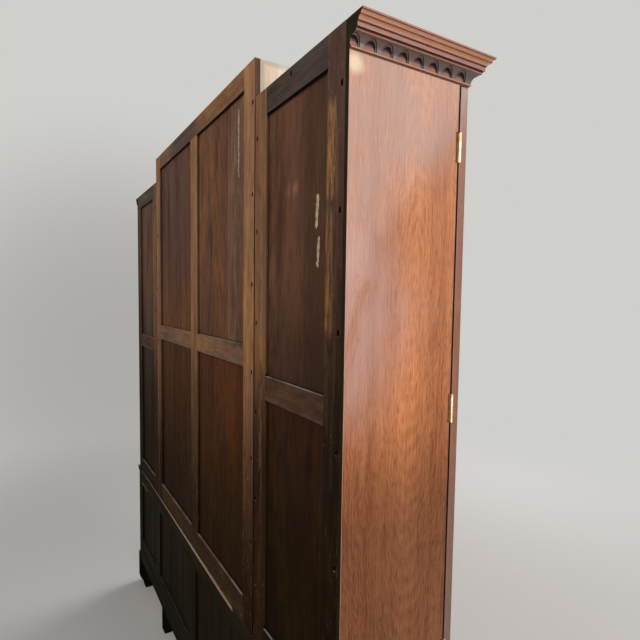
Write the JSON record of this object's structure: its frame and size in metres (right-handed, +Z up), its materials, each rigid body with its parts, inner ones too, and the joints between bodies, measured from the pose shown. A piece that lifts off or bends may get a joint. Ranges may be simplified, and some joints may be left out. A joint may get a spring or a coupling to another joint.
{
  "type": "breakfront cabinet",
  "caption": "Tall breakfront cabinet: raised centre and two wings with panelled doors over drawers, arcaded cornices, bracket feet and a panelled back.",
  "frame": {"origin": "on the floor, under the middle of the whole cabinet's box", "axes": "+X to the right seen from the front, +Y towards the panelled back, +Z up"},
  "size_m": [2.09, 0.448, 2.245],
  "materials": {
    "mahogany": "polished",
    "back_wood": "matt",
    "inside_wood": "satin",
    "brass": "worn",
    "iron": "dark"
  },
  "bodies": {
    "case": {"base_case": "mahogany", "base_drawer_rails": "mahogany", "base_back_frame": "back_wood", "base_back_panels": "back_wood", "waist_moulding": "mahogany", "base_moulding": "mahogany", "bracket_feet": "mahogany", "back_screws": "iron", "case_hinge_leaves": "brass", "left_wing_case": "mahogany", "left_wing_shelves": "inside_wood", "left_wing_back_frame": "back_wood", "left_wing_back_panels": "back_wood", "left_wing_cornice": "mahogany", "left_wing_arcade": "mahogany", "right_wing_case": "mahogany", "right_wing_shelves": "inside_wood", "right_wing_back_frame": "back_wood", "right_wing_back_panels": "back_wood", "right_wing_cornice": "mahogany", "right_wing_arcade": "mahogany", "centre_case": "mahogany", "centre_shelves": "inside_wood", "centre_back_frame": "back_wood", "centre_back_panels": "back_wood", "centre_cornice": "mahogany", "centre_arcade": "mahogany"},
    "left_wing_door": {"left_wing_door_frame": "mahogany", "left_wing_door_panels": "mahogany", "left_wing_door_brass": "brass"},
    "right_wing_door": {"right_wing_door_frame": "mahogany", "right_wing_door_panels": "mahogany", "right_wing_door_brass": "brass"},
    "left_centre_door": {"left_centre_door_frame": "mahogany", "left_centre_door_panels": "mahogany", "left_centre_door_brass": "brass"},
    "right_centre_door": {"right_centre_door_frame": "mahogany", "right_centre_door_panels": "mahogany", "right_centre_door_brass": "brass"},
    "left_upper_drawer": {"left_upper_drawer": "mahogany", "left_upper_drawer_brass": "brass"},
    "left_lower_drawer": {"left_lower_drawer": "mahogany", "left_lower_drawer_brass": "brass"},
    "centre_upper_drawer": {"centre_upper_drawer": "mahogany", "centre_upper_drawer_brass": "brass"},
    "centre_lower_drawer": {"centre_lower_drawer": "mahogany", "centre_lower_drawer_brass": "brass"},
    "right_upper_drawer": {"right_upper_drawer": "mahogany", "right_upper_drawer_brass": "brass"},
    "right_lower_drawer": {"right_lower_drawer": "mahogany", "right_lower_drawer_brass": "brass"},
    "left_upper_bail": {"left_upper_bail": "brass"},
    "left_lower_bail": {"left_lower_bail": "brass"},
    "centre_upper_left_bail": {"centre_upper_left_bail": "brass"},
    "centre_upper_right_bail": {"centre_upper_right_bail": "brass"},
    "centre_lower_left_bail": {"centre_lower_left_bail": "brass"},
    "centre_lower_right_bail": {"centre_lower_right_bail": "brass"},
    "right_upper_bail": {"right_upper_bail": "brass"},
    "right_lower_bail": {"right_lower_bail": "brass"}
  },
  "joints": [
    {"name": "left_wing_door_swing", "type": "hinge", "parent": "case", "child": "left_wing_door", "pos_m": [-1.007, -0.0723, 1.2], "axis": [0, 0, -1], "range_deg": [0, 110]},
    {"name": "right_wing_door_swing", "type": "hinge", "parent": "case", "child": "right_wing_door", "pos_m": [1.007, -0.0723, 1.2], "axis": [0, 0, 1], "range_deg": [0, 110]},
    {"name": "left_centre_door_swing", "type": "hinge", "parent": "case", "child": "left_centre_door", "pos_m": [-0.567, -0.1623, 1.2], "axis": [0, 0, -1], "range_deg": [0, 95]},
    {"name": "right_centre_door_swing", "type": "hinge", "parent": "case", "child": "right_centre_door", "pos_m": [0.567, -0.1623, 1.2], "axis": [0, 0, 1], "range_deg": [0, 95]},
    {"name": "left_upper_drawer_slide", "type": "slide", "parent": "case", "child": "left_upper_drawer", "axis": [0, -1, 0], "range_m": [0, 0.2]},
    {"name": "left_lower_drawer_slide", "type": "slide", "parent": "case", "child": "left_lower_drawer", "axis": [0, -1, 0], "range_m": [0, 0.2]},
    {"name": "centre_upper_drawer_slide", "type": "slide", "parent": "case", "child": "centre_upper_drawer", "axis": [0, -1, 0], "range_m": [0, 0.28]},
    {"name": "centre_lower_drawer_slide", "type": "slide", "parent": "case", "child": "centre_lower_drawer", "axis": [0, -1, 0], "range_m": [0, 0.28]},
    {"name": "right_upper_drawer_slide", "type": "slide", "parent": "case", "child": "right_upper_drawer", "axis": [0, -1, 0], "range_m": [0, 0.2]},
    {"name": "right_lower_drawer_slide", "type": "slide", "parent": "case", "child": "right_lower_drawer", "axis": [0, -1, 0], "range_m": [0, 0.2]},
    {"name": "left_upper_bail_swing", "type": "hinge", "parent": "left_upper_drawer", "child": "left_upper_bail", "pos_m": [-0.774, -0.11, 0.55025], "axis": [-1, 0, 0], "range_deg": [0, 90]},
    {"name": "left_lower_bail_swing", "type": "hinge", "parent": "left_lower_drawer", "child": "left_lower_bail", "pos_m": [-0.774, -0.11, 0.30475], "axis": [-1, 0, 0], "range_deg": [0, 90]},
    {"name": "centre_upper_left_bail_swing", "type": "hinge", "parent": "centre_upper_drawer", "child": "centre_upper_left_bail", "pos_m": [-0.3, -0.2, 0.55025], "axis": [-1, 0, 0], "range_deg": [0, 90]},
    {"name": "centre_upper_right_bail_swing", "type": "hinge", "parent": "centre_upper_drawer", "child": "centre_upper_right_bail", "pos_m": [0.3, -0.2, 0.55025], "axis": [-1, 0, 0], "range_deg": [0, 90]},
    {"name": "centre_lower_left_bail_swing", "type": "hinge", "parent": "centre_lower_drawer", "child": "centre_lower_left_bail", "pos_m": [-0.3, -0.2, 0.30475], "axis": [-1, 0, 0], "range_deg": [0, 90]},
    {"name": "centre_lower_right_bail_swing", "type": "hinge", "parent": "centre_lower_drawer", "child": "centre_lower_right_bail", "pos_m": [0.3, -0.2, 0.30475], "axis": [-1, 0, 0], "range_deg": [0, 90]},
    {"name": "right_upper_bail_swing", "type": "hinge", "parent": "right_upper_drawer", "child": "right_upper_bail", "pos_m": [0.774, -0.11, 0.55025], "axis": [-1, 0, 0], "range_deg": [0, 90]},
    {"name": "right_lower_bail_swing", "type": "hinge", "parent": "right_lower_drawer", "child": "right_lower_bail", "pos_m": [0.774, -0.11, 0.30475], "axis": [-1, 0, 0], "range_deg": [0, 90]}
  ]
}
